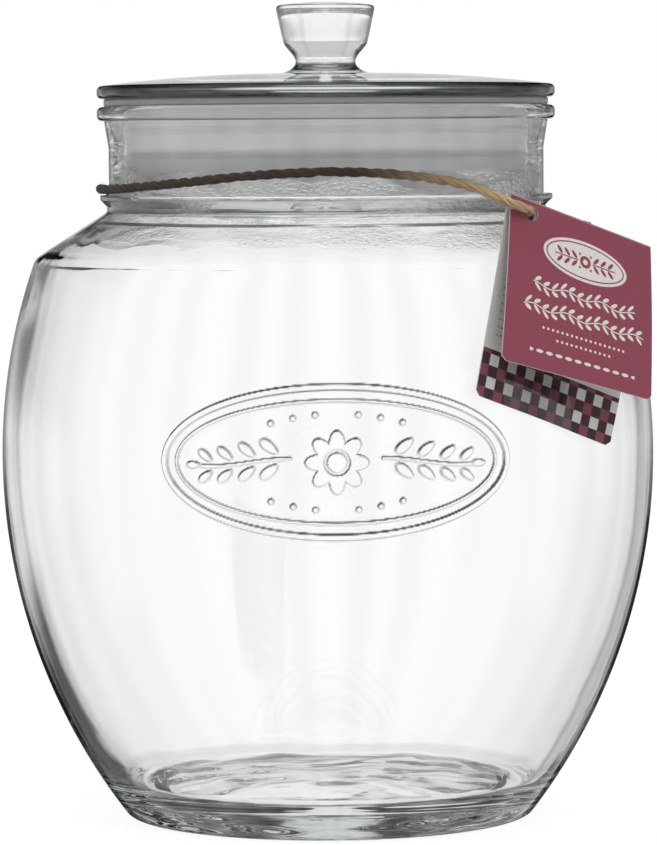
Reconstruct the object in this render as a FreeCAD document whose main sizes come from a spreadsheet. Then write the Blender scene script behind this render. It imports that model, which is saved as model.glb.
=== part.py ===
"""A glass storage jar with a barrel body, a knobbed glass lid on a silicone seal, and a folded card tag on
twine round its neck.

Millimetres, +Z up. The origin is the middle of the ring that the jar stands on, and the tag hangs at the
front right, the front being -Y.
"""

import FreeCAD, Part
import math
import os
import Sketcher

Vector = FreeCAD.Vector

SIZES = {
    # The barrel, outside.
    "belly_radius": 99.9,
    "belly_height": 111.0,
    "foot_radius": 62.0,
    "shoulder_radius": 89.2,
    "shoulder_height": 171.4,
    "shoulder_rise": 14.0,
    "heel_round": 4.0,
    "shoulder_round": 5.0,
    # The hollow.
    "belly_wall": 4.3,
    "shoulder_wall": 4.5,
    "floor_radius": 62.0,
    "floor_thickness": 9.0,
    "floor_crown": 2.5,
    "floor_round": 13.0,
    # The ring that the jar stands on, and the hollow inside it.
    "stand_width": 6.5,
    "stand_round": 1.6,
    "punt_radius": 51.0,
    "punt_height": 3.2,
    "punt_crown": 1.8,
    # The neck, its bead and its flange.
    "groove_radius": 67.2,
    "groove_height": 1.6,
    "groove_round": 1.4,
    "bead_radius": 69.3,
    "bead_slope": 2.1,
    "bead_lip": 1.5,
    "bead_round": 0.5,
    "neck_radius": 66.6,
    "neck_straight": 14.3,
    "neck_flare": 1.3,
    "flare_height": 8.2,
    "flange_radius": 70.1,
    "flange_thickness": 4.5,
    "flange_round": 1.6,
    "mouth_radius": 62.4,
    # The seal: a flat flange and a ribbed sleeve that hangs into the neck.
    "seal_radius": 68.0,
    "seal_thickness": 2.2,
    "seal_round": 0.6,
    "sleeve_length": 19.4,
    "sleeve_thickness": 2.3,
    "rib_height": 0.8,
    "rib_width": 2.4,
    "lowest_rib": 4.8,
    "rib_spacing": 7.6,
    "rib_count": 2,
    "rib_clearance": 0.2,
    # The lid.
    "lid_radius": 70.1,
    "rim_thickness": 4.2,
    "rim_inset": 2.0,
    "rim_round": 1.6,
    "dome_rise": 3.4,
    "foot_ring_radius": 13.6,
    "plug_clearance": 0.2,
    "plug_wall": 4.0,
    "plug_length": 17.0,
    "plug_round": 1.6,
    "lid_thickness": 9.8,
    "ceiling_round": 4.0,
    # The knob.
    "knob_foot_rise": 2.6,
    "knob_foot_radius": 10.9,
    "waist_radius": 9.9,
    "waist_height": 4.2,
    "waist_length": 1.6,
    "waist_round": 1.6,
    "grip_radius": 12.7,
    "grip_height": 8.5,
    "knob_radius": 15.3,
    "knob_height": 21.9,
    "knob_crown": 1.2,
    "knob_round": 1.2,
    # The tag, one card folded along its top edge.
    "card": 0.45,
    "tag_width": 53.2,
    "front_leaf": 51.7,
    "back_leaf": 61.3,
    "leaf_opening": 12.6,
    "tag_corner": 2.0,
    "tag_hole": 5.0,
    "hole_inset": 7.9,
    "hole_drop": 3.4,
    "hole_azimuth": 40.3,
    "hole_height": 185.7,
    "tag_azimuth": 34.0,
    "tag_roll": 18.4,
    "tag_tilt": 11.0,
    "tag_clearance": 0.6,
    # The twine.
    "twine": 2.5,
    "knot_radius": 3.1,
    "knot_end_radius": 1.75,
}

# How much of a wall the fillets along its edges may take.
FILLET_SHARE = 0.9
# How much of a run of the twine's route each arc at its ends takes.
ARC_SHARE = 0.45

# The twine's route, from the knot behind the tag, round the back of the neck and back through the tag's
# hole: the azimuth from the front towards +X in degrees, the distance from the axis and the height.
TWINE_ROUTE = [
    (44.6, 78.5, 184.7),
    (45.8, 75.9, 184.6),
    (48.2, 74.1, 184.3),
    (52.6, 73.5, 184.0),
    (59.6, 75.2, 183.0),
    (69.6, 78.4, 181.3),
    (82.5, 81.0, 179.9),
    (98.0, 80.6, 180.3),
    (115.0, 77.4, 182.4),
    (134.0, 73.4, 185.0),
    (155.0, 70.9, 186.6),
    (177.0, 70.6, 186.7),
    (199.0, 70.6, 186.7),
    (219.0, 71.8, 187.2),
    (235.0, 73.4, 189.2),
    (250.0, 72.6, 191.9),
    (266.0, 70.1, 192.6),
    (284.0, 69.5, 192.4),
    (304.0, 69.5, 193.2),
    (324.0, 69.5, 194.9),
    (343.0, 69.7, 197.0),
    (360.5, 69.6, 197.9),
    (370.9, 71.3, 197.5),
    (381.0, 78.6, 196.3),
    (388.2, 86.7, 194.0),
    (392.6, 92.9, 190.1),
    (395.9, 94.4, 187.7),
    (398.3, 94.6, 186.7),
    (399.8, 93.2, 186.2),
    (400.5, 90.7, 185.8),
    (401.3, 87.4, 185.1),
    (402.4, 84.1, 184.9),
]


class Length:
    """A size that knows its value and how the sheet's aliases give it."""

    def __init__(self, value, text):
        self.value = value
        self.text = text

    def __add__(self, other):
        other = length(other)
        return Length(self.value + other.value, f"({self.text} + {other.text})")

    def __sub__(self, other):
        other = length(other)
        return Length(self.value - other.value, f"({self.text} - {other.text})")

    def __mul__(self, other):
        other = length(other)
        return Length(self.value * other.value, f"({self.text} * {other.text})")

    def __truediv__(self, other):
        other = length(other)
        return Length(self.value / other.value, f"({self.text} / {other.text})")


def length(size):
    return size if isinstance(size, Length) else Length(float(size), repr(float(size)))


def sine(angle):
    return Length(math.sin(math.radians(angle.value)), f"sin({angle.text} * 1deg)")


def cosine(angle):
    return Length(math.cos(math.radians(angle.value)), f"cos({angle.text} * 1deg)")


def root(size):
    return Length(math.sqrt(size.value), f"sqrt({size.text})")


def least(one, other):
    return Length(min(one.value, other.value), f"min({one.text}; {other.text})")


def rounding(size, wall, edges):
    """A fillet's radius, kept within its share of a wall that has fillets along so many of its edges."""
    return least(size, wall * FILLET_SHARE / edges)


def upright_arc(sag, rise):
    """The radius of an arc that starts upright, and moves sag sideways over its rise."""
    return (rise * rise + sag * sag) / (sag * 2)


def make_sheet(doc):
    sheet = doc.addObject("Spreadsheet::Sheet", "Sizes")
    for row, (name, value) in enumerate(SIZES.items(), start=1):
        sheet.set(f"A{row}", name)
        sheet.set(f"B{row}", str(value))
        sheet.setAlias(f"B{row}", name)
    doc.recompute()
    return {name: Length(float(sheet.get(name)), f"Sizes.{name}") for name in SIZES}


def make_body(doc, name):
    body = doc.addObject("PartDesign::Body", name)
    body.Label = name
    return body


def add_sketch(body, name, plane):
    sketch = body.newObject("Sketcher::SketchObject", name)
    features = body.Origin.OriginFeatures
    sketch.AttachmentSupport = [(next(f for f in features if f.Role == plane), "")]
    sketch.MapMode = "FlatFace"
    return sketch


def arc_between(start, end, radius):
    """The shorter arc from start to end: its middle lies to the left of the way if radius is above 0."""
    chord = end - start
    left = Vector(-chord.y, chord.x, 0).normalize()
    away = math.sqrt(radius * radius - chord.Length**2 / 4)
    centre = (start + end) / 2 + left * math.copysign(away, radius)
    first, last = (start, end) if radius > 0 else (end, start)
    angles = [math.atan2(p.y - centre.y, p.x - centre.x) for p in (first, last)]
    circle = Part.Circle(centre, Vector(0, 0, 1), abs(radius))
    return Part.ArcOfCircle(circle, *angles)


def pin(sketch, edge, vertex, x, y):
    """Holds a vertex at x and y from the origin."""
    for kind, size, axis in (("DistanceX", x, -2), ("DistanceY", y, -1)):
        if abs(size.value) < 1e-9:
            sketch.addConstraint(Sketcher.Constraint("PointOnObject", edge, vertex, axis))
        else:
            number = sketch.addConstraint(
                Sketcher.Constraint(kind, -1, 1, edge, vertex, size.value)
            )
            sketch.setExpression(f"Constraints[{number}]", size.text)


def draw_outline(sketch, corners):
    """A closed outline. Each corner is (x, y), with the signed radius of the arc that leads on from it, and
    that arc's radius is above 0 where its middle lies to the left of the way."""
    corners = [(length(c[0]), length(c[1]), *c[2:]) for c in corners]
    places = [Vector(c[0].value, c[1].value, 0) for c in corners]
    ends = []
    for number, corner in enumerate(corners):
        start, end = places[number], places[(number + 1) % len(places)]
        if len(corner) == 2:
            edge = sketch.addGeometry(Part.LineSegment(start, end), False)
            ends.append((edge, 1, 2))
            continue
        radius, left = corner[2], corner[3]
        signed = radius.value if left else -radius.value
        edge = sketch.addGeometry(arc_between(start, end, signed), False)
        ends.append((edge, 1, 2) if left else (edge, 2, 1))
        number = sketch.addConstraint(Sketcher.Constraint("Radius", edge, radius.value))
        sketch.setExpression(f"Constraints[{number}]", radius.text)
    for number, (edge, start, _) in enumerate(ends):
        before, _, end = ends[number - 1]
        sketch.addConstraint(Sketcher.Constraint("Coincident", before, end, edge, start))
        pin(sketch, edge, start, corners[number][0], corners[number][1])


def revolve(body, name, corners):
    """A full turn about the Z axis of an outline in the XZ plane."""
    sketch = add_sketch(body, name + "_outline", "XZ_Plane")
    draw_outline(sketch, corners)
    turned = body.newObject("PartDesign::Revolution", name)
    turned.Profile = sketch
    turned.ReferenceAxis = (sketch, ["V_Axis"])
    turned.Angle = 360.0
    sketch.Visibility = False
    body.Document.recompute()
    return turned


def round_rings(body, name, radius, rings):
    """A fillet along the circular edges at the given distances from the axis and heights."""
    base = body.Tip
    names = []
    for ring_radius, height in rings:
        ring_radius, height = length(ring_radius), length(height)
        found = [
            f"Edge{number}"
            for number, edge in enumerate(base.Shape.Edges, start=1)
            if not edge.Degenerated
            and isinstance(edge.Curve, Part.Circle)
            and abs(edge.Curve.Radius - ring_radius.value) < 1e-4
            and abs(edge.Curve.Center.z - height.value) < 1e-4
        ]
        if len(found) != 1:
            raise RuntimeError(f"{name}: {len(found)} edges at {ring_radius.value}, {height.value}")
        names += found
    fillet = body.newObject("PartDesign::Fillet", name)
    fillet.Base = (base, names)
    radius = length(radius)
    fillet.Radius = radius.value
    fillet.setExpression("Radius", radius.text)
    body.Document.recompute()
    if not fillet.isValid():
        raise RuntimeError(f"{name} can't be rounded by {radius.value}")


def heights(s):
    """The heights that the neck, the seal and the lid share."""
    neck_foot = s["shoulder_height"] + s["shoulder_rise"]
    groove_top = neck_foot + s["groove_height"]
    lip_foot = groove_top + s["bead_slope"]
    ledge = lip_foot + s["bead_lip"]
    neck_top = ledge + s["neck_straight"] + s["flare_height"]
    mouth = neck_top + s["flange_thickness"]
    lid_seat = mouth + s["seal_thickness"]
    return neck_foot, groove_top, lip_foot, ledge, neck_top, mouth, lid_seat


def make_jar(doc, s):
    """The body: one thick revolved wall, with a bead and a flange at its neck and a punt under its floor."""
    body = make_body(doc, "jar")
    neck_foot, groove_top, lip_foot, ledge, neck_top, mouth, _ = heights(s)
    below_belly = s["belly_height"]
    above_belly = s["shoulder_height"] - s["belly_height"]
    lower_arc = upright_arc(s["belly_radius"] - s["foot_radius"], below_belly)
    upper_arc = upright_arc(s["belly_radius"] - s["shoulder_radius"], above_belly)

    # The hollow's shoulder runs parallel to the outer one, a wall inside it.
    run, rise = s["shoulder_radius"] - s["groove_radius"], s["shoulder_rise"]
    slope = run / rise
    drop = s["shoulder_wall"] * root(run * run + rise * rise) / run
    inner_neck_foot = neck_foot - drop + (s["groove_radius"] - s["mouth_radius"]) / slope
    inner_shoulder_radius = s["shoulder_radius"] - s["shoulder_wall"]
    inner_shoulder = s["shoulder_height"] - drop + s["shoulder_wall"] / slope
    inner_belly = s["belly_radius"] - s["belly_wall"]
    inner_upper = upright_arc(
        inner_belly - inner_shoulder_radius, inner_shoulder - s["belly_height"]
    )
    inner_lower = upright_arc(
        inner_belly - s["floor_radius"], s["belly_height"] - s["floor_thickness"]
    )
    floor_arc = upright_arc(s["floor_crown"], s["floor_radius"])
    punt_arc = upright_arc(s["punt_crown"], s["punt_radius"])
    stand_inner = s["foot_radius"] - s["stand_width"]
    flare = s["neck_radius"] + s["neck_flare"]

    revolve(
        body,
        "jar_wall",
        [
            (0, s["punt_height"] + s["punt_crown"], punt_arc, False),
            (s["punt_radius"], s["punt_height"]),
            (stand_inner, 0),
            (s["foot_radius"], 0, lower_arc, True),
            (s["belly_radius"], s["belly_height"], upper_arc, True),
            (s["shoulder_radius"], s["shoulder_height"]),
            (s["groove_radius"], neck_foot),
            (s["groove_radius"], groove_top),
            (s["bead_radius"], lip_foot),
            (s["bead_radius"], ledge),
            (s["neck_radius"], ledge),
            (s["neck_radius"], ledge + s["neck_straight"]),
            (flare, neck_top),
            (s["flange_radius"], neck_top),
            (s["flange_radius"], mouth),
            (s["mouth_radius"], mouth),
            (s["mouth_radius"], inner_neck_foot),
            (inner_shoulder_radius, inner_shoulder, inner_upper, False),
            (inner_belly, s["belly_height"], inner_lower, False),
            (s["floor_radius"], s["floor_thickness"], floor_arc, True),
            (0, s["floor_thickness"] + s["floor_crown"]),
        ],
    )
    round_rings(body, "floor_corner", s["floor_round"], [(s["floor_radius"], s["floor_thickness"])])
    round_rings(
        body,
        "shoulder_corners",
        s["shoulder_round"],
        [
            (s["shoulder_radius"], s["shoulder_height"]),
            (inner_shoulder_radius, inner_shoulder),
            (s["mouth_radius"], inner_neck_foot),
        ],
    )
    round_rings(body, "heel", s["heel_round"], [(s["foot_radius"], 0)])
    round_rings(
        body,
        "stand_edges",
        rounding(s["stand_round"], s["punt_height"], 2),
        [(stand_inner, 0), (s["punt_radius"], s["punt_height"])],
    )
    groove_round = rounding(s["groove_round"], s["groove_height"], 1)
    round_rings(body, "neck_groove", groove_round, [(s["groove_radius"], neck_foot)])
    round_rings(
        body,
        "bead_edges",
        rounding(s["bead_round"], s["bead_lip"], 2),
        [(s["bead_radius"], lip_foot), (s["bead_radius"], ledge)],
    )
    round_rings(
        body,
        "flange_edges",
        rounding(s["flange_round"], s["flange_thickness"], 2),
        [(s["flange_radius"], neck_top), (s["flange_radius"], mouth), (s["mouth_radius"], mouth)],
    )
    return body


def make_seal(doc, s):
    """The silicone seal: a flat flange under the lid, and a sleeve with two ribs inside the neck."""
    body = make_body(doc, "seal")
    *_, mouth, lid_seat = heights(s)
    rib_radius = s["mouth_radius"] - s["rib_clearance"]
    sleeve_radius = rib_radius - s["rib_height"]
    inner_radius = sleeve_radius - s["sleeve_thickness"]
    sleeve_foot = mouth - s["sleeve_length"]
    corners = [
        (inner_radius, sleeve_foot),
        (sleeve_radius, sleeve_foot),
    ]
    # Each rib is a ridge with a sharp crest.
    for number in range(round(s["rib_count"].value)):
        crest = sleeve_foot + s["lowest_rib"] + s["rib_spacing"] * number
        corners += [
            (sleeve_radius, crest - s["rib_width"] / 2),
            (rib_radius, crest),
            (sleeve_radius, crest + s["rib_width"] / 2),
        ]
    corners += [
        (sleeve_radius, mouth),
        (s["seal_radius"], mouth),
        (s["seal_radius"], lid_seat),
        (inner_radius, lid_seat),
    ]
    revolve(body, "seal_ring", corners)
    round_rings(
        body,
        "seal_edges",
        rounding(s["seal_round"], s["seal_thickness"], 2),
        [(s["seal_radius"], mouth), (s["seal_radius"], lid_seat)],
    )
    return body


def make_lid(doc, s):
    """The glass lid: a low dome with a solid knob, and a hollow plug that the seal's sleeve goes round."""
    body = make_body(doc, "lid")
    lid_seat = heights(s)[-1]
    sleeve_inner = s["mouth_radius"] - s["rib_clearance"] - s["rib_height"] - s["sleeve_thickness"]
    plug_radius = sleeve_inner - s["plug_clearance"]
    plug_inner = plug_radius - s["plug_wall"]
    plug_foot = lid_seat - s["plug_length"]
    rim_top = lid_seat + s["rim_thickness"]
    shelf = s["lid_radius"] - s["rim_inset"]
    crown = rim_top + s["dome_rise"]
    dome_run = shelf - s["foot_ring_radius"]
    dome_arc = upright_arc(s["dome_rise"], dome_run)
    ceiling = crown - s["lid_thickness"]
    foot = crown + s["knob_foot_rise"]
    waist = crown + s["waist_height"]
    grip = crown + s["grip_height"]
    knob_edge = crown + s["knob_height"] - s["knob_crown"]
    crown_arc = upright_arc(s["knob_crown"], s["knob_radius"])
    revolve(
        body,
        "lid_glass",
        [
            (0, ceiling),
            (plug_inner, ceiling),
            (plug_inner, plug_foot),
            (plug_radius, plug_foot),
            (plug_radius, lid_seat),
            (s["lid_radius"], lid_seat),
            (s["lid_radius"], rim_top),
            (shelf, rim_top, dome_arc, True),
            (s["foot_ring_radius"], crown),
            (s["knob_foot_radius"], foot),
            (s["waist_radius"], waist),
            (s["waist_radius"], waist + s["waist_length"]),
            (s["grip_radius"], grip),
            (s["knob_radius"], knob_edge, crown_arc, True),
            (0, knob_edge + s["knob_crown"]),
        ],
    )
    round_rings(
        body,
        "lid_rim",
        rounding(s["rim_round"], s["rim_thickness"], 2),
        [(s["lid_radius"], lid_seat), (s["lid_radius"], rim_top)],
    )
    round_rings(
        body,
        "knob_waist",
        s["waist_round"],
        [(s["waist_radius"], waist + s["waist_length"]), (s["grip_radius"], grip)],
    )
    round_rings(body, "knob_rim", s["knob_round"], [(s["knob_radius"], knob_edge)])
    plug_round = rounding(s["plug_round"], s["plug_wall"], 2)
    round_rings(body, "plug_foot", plug_round, [(plug_inner, plug_foot), (plug_radius, plug_foot)])
    round_rings(body, "lid_ceiling", s["ceiling_round"], [(plug_inner, ceiling)])
    return body


def tag_axes(s):
    """The card's directions: along its fold to the left, out of its back leaf, and up that leaf."""
    turn, roll, tilt = (
        math.radians(s[name].value) for name in ("tag_azimuth", "tag_roll", "tag_tilt")
    )
    across = Vector(math.cos(turn), math.sin(turn), 0)
    outward = Vector(math.sin(turn), -math.cos(turn), 0)
    along = across * math.cos(roll) - Vector(0, 0, math.sin(roll))
    down = -across * math.sin(roll) - Vector(0, 0, math.cos(roll))
    down = down * math.cos(tilt) + outward * math.sin(tilt)
    up = -down
    return -along, up.cross(-along), up


def make_tag(doc, s):
    """The tag: one folded card, hung by a hole near its fold so that its back leaf leans on the barrel."""
    body = make_body(doc, "tag")
    card = s["card"]
    sine_open, cosine_open = sine(s["leaf_opening"]), cosine(s["leaf_opening"])
    fold = s["back_leaf"]
    front_foot_out = card * 2 + s["front_leaf"] * sine_open
    front_foot_height = fold - s["front_leaf"] * cosine_open
    join_drop = card * (length(1) - cosine_open) / sine_open

    sketch = add_sketch(body, "card_outline", "YZ_Plane")
    draw_outline(
        sketch,
        [
            (0, 0),
            (card, 0),
            (card, fold - join_drop),
            (front_foot_out - card * cosine_open, front_foot_height - card * sine_open),
            (front_foot_out, front_foot_height),
            (card * 2, fold),
            (0, fold),
        ],
    )
    pad = body.newObject("PartDesign::Pad", "card")
    pad.Profile = sketch
    pad.SideType = "Symmetric"
    pad.Length = s["tag_width"].value
    pad.setExpression("Length", s["tag_width"].text)
    doc.recompute()

    base = body.Tip
    half_width = s["tag_width"].value / 2
    corners = [
        f"Edge{number}"
        for number, edge in enumerate(base.Shape.Edges, start=1)
        if abs(edge.Length - card.value) < 1e-6
        and abs(abs(edge.CenterOfMass.x) - half_width) < 1e-6
        and edge.CenterOfMass.z < front_foot_height.value + card.value
    ]
    if len(corners) != 4:
        raise RuntimeError(f"the tag has {len(corners)} lower corners")
    fillet = body.newObject("PartDesign::Fillet", "card_corners")
    fillet.Base = (base, corners)
    fillet.Radius = s["tag_corner"].value
    fillet.setExpression("Radius", s["tag_corner"].text)
    doc.recompute()

    hole = add_sketch(body, "hole_outline", "XZ_Plane")
    # Seen from outside, the card's left end is at +X.
    place_x = s["tag_width"] / 2 - s["hole_inset"]
    place_z = fold - s["hole_drop"]
    circle = Part.Circle(Vector(place_x.value, place_z.value, 0), Vector(0, 0, 1), s["tag_hole"].value / 2)
    edge = hole.addGeometry(circle, False)
    pin(hole, edge, 3, place_x, place_z)
    number = hole.addConstraint(Sketcher.Constraint("Diameter", edge, s["tag_hole"].value))
    hole.setExpression(f"Constraints[{number}]", s["tag_hole"].text)
    whole = fillet.Shape.Volume
    pocket = body.newObject("PartDesign::Pocket", "hole")
    pocket.Profile = hole
    pocket.SideType = "Symmetric"
    pocket.Type = "ThroughAll"
    doc.recompute()
    bored = math.pi * (s["tag_hole"].value / 2) ** 2 * card.value * 2
    if not bored * 0.95 < whole - pocket.Shape.Volume < bored * 1.2:
        raise RuntimeError(f"the hole took {whole - pocket.Shape.Volume:.2f} cubic mm off the tag")

    place_tag(body, s, place_x.value, place_z.value)
    return body


def place_tag(body, s, hole_x, hole_z):
    """Leans the back leaf on the barrel, a clearance away, with the hole at its azimuth and height."""
    left, outward, up = tag_axes(s)
    arc = upright_arc(
        s["belly_radius"] - s["shoulder_radius"], s["shoulder_height"] - s["belly_height"]
    ).value
    # How far from the origin, along the leaf's normal, the barrel's upper arc reaches.
    arc_middle = Vector(math.hypot(outward.x, outward.y), 0, outward.z)
    reach = arc_middle.dot(Vector(s["belly_radius"].value - arc, 0, s["belly_height"].value)) + arc
    flat = outward * (reach + s["tag_clearance"].value)
    # In the leaf's plane, the way to the point with the hole's azimuth and height.
    azimuth = math.radians(s["hole_azimuth"].value)
    sideways = Vector(math.cos(azimuth), math.sin(azimuth), 0)
    off, rise = -flat.dot(sideways), s["hole_height"].value - flat.z
    across, level = left.dot(sideways), up.dot(sideways)
    whole = across * up.z - level * left.z
    hole = flat + left * ((off * up.z - level * rise) / whole) + up * ((across * rise - left.z * off) / whole)
    base = hole - left * hole_x - up * hole_z
    body.Placement = FreeCAD.Placement(base, FreeCAD.Rotation(left, outward, up, "ZXY"))


def route_points():
    return [
        Vector(
            radius * math.sin(math.radians(azimuth)),
            -radius * math.cos(math.radians(azimuth)),
            height,
        )
        for azimuth, radius, height in TWINE_ROUTE
    ]


def route_path(points):
    """The route as straight runs joined by tangent arcs, and the arcs' radii."""
    edges, radii = [], []
    start = points[0]
    for before, corner, after in zip(points, points[1:], points[2:]):
        back, on = before - corner, after - corner
        run = min(back.Length, on.Length)
        back.normalize()
        on.normalize()
        turn = math.pi - back.getAngle(on)
        trim = ARC_SHARE * run
        radius = trim / math.tan(turn / 2)
        first, last = corner + back * trim, corner + on * trim
        middle_way = (back + on).normalize()
        middle = corner + middle_way * (radius / math.cos(turn / 2) - radius)
        edges.append(Part.LineSegment(start, first).toShape())
        edges.append(Part.Arc(first, middle, last).toShape())
        radii.append(radius)
        start = last
    edges.append(Part.LineSegment(start, points[-1]).toShape())
    return Part.Wire(edges), radii


def make_twine(doc, s):
    """The twine: one round tube along its route."""
    points = route_points()
    path, radii = route_path(points)
    radius = s["twine"].value / 2
    section = Part.Wire(Part.Circle(points[0], points[1] - points[0], radius).toShape())
    tube = path.makePipeShell([section], True, False)
    expected = math.pi * radius**2 * path.Length
    print(f"twine: {path.Length:.1f} mm long, arc radii " + " ".join(f"{r:.1f}" for r in radii))
    if abs(tube.Volume / expected - 1) > 0.01:
        raise RuntimeError(f"the twine holds {tube.Volume:.1f} cubic mm and not {expected:.1f}")
    feature = doc.addObject("Part::Feature", "twine")
    feature.Label = "twine"
    feature.Shape = tube
    feature.Placement = FreeCAD.Placement()
    return feature


def make_knot(doc, s):
    """The knot: a small barrel between the twine's two ends, face to face with both."""
    points = route_points()
    first, last = points[-1], points[0]
    body = make_body(doc, "knot")
    gap = (last - first).Length
    end_radius = s["knot_end_radius"]
    bulge = upright_arc(s["knot_radius"] - end_radius, length(gap) / 2)
    revolve(
        body,
        "knot_barrel",
        [
            (0, 0),
            (end_radius, 0, bulge, True),
            (s["knot_radius"], gap / 2, bulge, True),
            (end_radius, gap),
            (0, gap),
        ],
    )
    body.Placement = FreeCAD.Placement(first, FreeCAD.Rotation(Vector(0, 0, 1), last - first))
    return body


def main():
    doc = FreeCAD.newDocument("storage_jar")
    s = make_sheet(doc)
    parts = [make(doc, s) for make in (make_jar, make_seal, make_lid, make_tag, make_twine, make_knot)]
    doc.recompute()
    for thing in doc.Objects:
        if "Invalid" in thing.State or "Error" in thing.State:
            raise RuntimeError(f"{thing.Name} is {thing.State}")
    os.makedirs("parts", exist_ok=True)
    for part in parts:
        shape = part.Shape
        if shape.isNull() or not shape.isValid() or len(shape.Solids) != 1:
            raise RuntimeError(f"{part.Label} isn't one valid solid")
        shape.exportStep(f"parts/{part.Label}.step")
        box, volume = shape.BoundBox, shape.Volume
        print(f"{part.Label}: {box.XLength:.1f} x {box.YLength:.1f} x {box.ZLength:.1f} mm, {volume:.0f} mm3")


main()
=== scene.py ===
"""The looks of the storage jar: clear moulded glass, a silicone seal, jute twine and a printed card tag.

Metres, +Z up, the front being -Y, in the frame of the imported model.
"""

import math
import random

import bmesh
import bpy
import numpy as np
from mathutils import Matrix, Vector, noise


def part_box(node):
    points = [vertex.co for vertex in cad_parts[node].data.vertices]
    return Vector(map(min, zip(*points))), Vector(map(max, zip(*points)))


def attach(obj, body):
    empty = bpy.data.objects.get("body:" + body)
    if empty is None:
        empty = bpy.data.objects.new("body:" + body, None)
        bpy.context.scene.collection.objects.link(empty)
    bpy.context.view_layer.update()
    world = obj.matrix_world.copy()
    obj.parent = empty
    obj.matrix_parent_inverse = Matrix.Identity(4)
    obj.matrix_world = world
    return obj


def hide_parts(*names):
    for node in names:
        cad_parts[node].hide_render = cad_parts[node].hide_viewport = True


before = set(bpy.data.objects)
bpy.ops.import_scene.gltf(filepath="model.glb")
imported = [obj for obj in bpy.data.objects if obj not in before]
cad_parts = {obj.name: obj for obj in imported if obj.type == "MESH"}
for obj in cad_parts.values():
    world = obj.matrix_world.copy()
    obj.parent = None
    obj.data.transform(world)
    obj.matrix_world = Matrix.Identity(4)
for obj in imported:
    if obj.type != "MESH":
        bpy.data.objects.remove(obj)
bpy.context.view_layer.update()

MM = 0.001
TAU = 2 * math.pi

# The camera's distance from the jar's axis, its height, its dip, turn and roll, and its lens in mm.
CAMERA_DISTANCE = 1.410
CAMERA_HEIGHT = 0.2075
CAMERA_DIP = math.radians(3.5375)
CAMERA_TURN = math.radians(-0.01)
CAMERA_ROLL = math.radians(0.35)
CAMERA_LENS = 195.72

# The twine's route, from the knot behind the tag, round the back of the neck and back through the tag's
# hole: the azimuth from the front towards +X in degrees, the distance from the axis and the height.
TWINE_ROUTE = [
    (44.6, 0.0785, 0.1847),
    (45.8, 0.0759, 0.1846),
    (48.2, 0.0741, 0.1843),
    (52.6, 0.0735, 0.1840),
    (59.6, 0.0752, 0.1830),
    (69.6, 0.0784, 0.1813),
    (82.5, 0.0810, 0.1799),
    (98.0, 0.0806, 0.1803),
    (115.0, 0.0774, 0.1824),
    (134.0, 0.0734, 0.1850),
    (155.0, 0.0709, 0.1866),
    (177.0, 0.0706, 0.1867),
    (199.0, 0.0706, 0.1867),
    (219.0, 0.0718, 0.1872),
    (235.0, 0.0734, 0.1892),
    (250.0, 0.0726, 0.1919),
    (266.0, 0.0701, 0.1926),
    (284.0, 0.0695, 0.1924),
    (304.0, 0.0695, 0.1932),
    (324.0, 0.0695, 0.1949),
    (343.0, 0.0697, 0.1970),
    (360.5, 0.0696, 0.1979),
    (370.9, 0.0713, 0.1975),
    (381.0, 0.0786, 0.1963),
    (388.2, 0.0867, 0.1940),
    (392.6, 0.0929, 0.1901),
    (395.9, 0.0944, 0.1877),
    (398.3, 0.0946, 0.1867),
    (399.8, 0.0932, 0.1862),
    (400.5, 0.0907, 0.1858),
    (401.3, 0.0874, 0.1851),
    (402.4, 0.0841, 0.1849),
]
# The twine's diameter and its length.
TWINE, TWINE_LENGTH = 0.0025, 0.474


def new_object(name, data):
    obj = bpy.data.objects.new(name, data)
    bpy.context.scene.collection.objects.link(obj)
    return obj


def make_camera():
    data = bpy.data.cameras.new("camera")
    data.lens = CAMERA_LENS
    camera = new_object("camera", data)
    camera.matrix_world = (
        Matrix.Translation((0, -CAMERA_DISTANCE, CAMERA_HEIGHT))
        @ Matrix.Rotation(CAMERA_TURN, 4, "Z")
        @ Matrix.Rotation(math.pi / 2 - CAMERA_DIP, 4, "X")
        @ Matrix.Rotation(-CAMERA_ROLL, 4, "Z")
    )
    bpy.context.scene.camera = camera


def new_mesh_object(name, vertices, faces, material=None):
    mesh = bpy.data.meshes.new(name)
    mesh.from_pydata([tuple(v) for v in vertices], [], [tuple(f) for f in faces])
    mesh.validate()
    mesh.shade_smooth()
    if material:
        mesh.materials.append(material)
    return new_object(name, mesh)


def mark_sharp(mesh, flags):
    sharp = mesh.attributes.get("sharp_edge") or mesh.attributes.new("sharp_edge", "BOOLEAN", "EDGE")
    sharp.data.foreach_set("value", flags)


def share(way):
    """The same number, kept from 0 to 1."""
    return min(1, max(0, way))


# -------- the twine


def route_line():
    """The points of the twine's centreline, read from its NURBS spline."""
    data = bpy.data.curves.new("route", "CURVE")
    data.dimensions = "3D"
    data.resolution_u = 14
    spline = data.splines.new("NURBS")
    spline.points.add(len(TWINE_ROUTE) - 1)
    for point, (azimuth, radius, height) in zip(spline.points, TWINE_ROUTE):
        turn = math.radians(azimuth)
        point.co = (radius * math.sin(turn), -radius * math.cos(turn), height, 1)
    spline.order_u = 3
    spline.use_endpoint_u = True
    curve = new_object("route", data)
    mesh = bpy.data.meshes.new_from_object(curve)
    points = [vertex.co.copy() for vertex in mesh.vertices]
    bpy.data.objects.remove(curve)
    bpy.data.meshes.remove(mesh)
    return points


def evenly(points, step):
    """Points a step apart along a line."""
    points = np.array([tuple(p) for p in points])
    along = np.concatenate([[0], np.cumsum(np.linalg.norm(np.diff(points, axis=0), axis=1))])
    places = np.linspace(0, along[-1], max(3, round(along[-1] / step) + 1))
    return [Vector(p) for p in np.array([np.interp(places, along, points[:, k]) for k in range(3)]).T]


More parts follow.
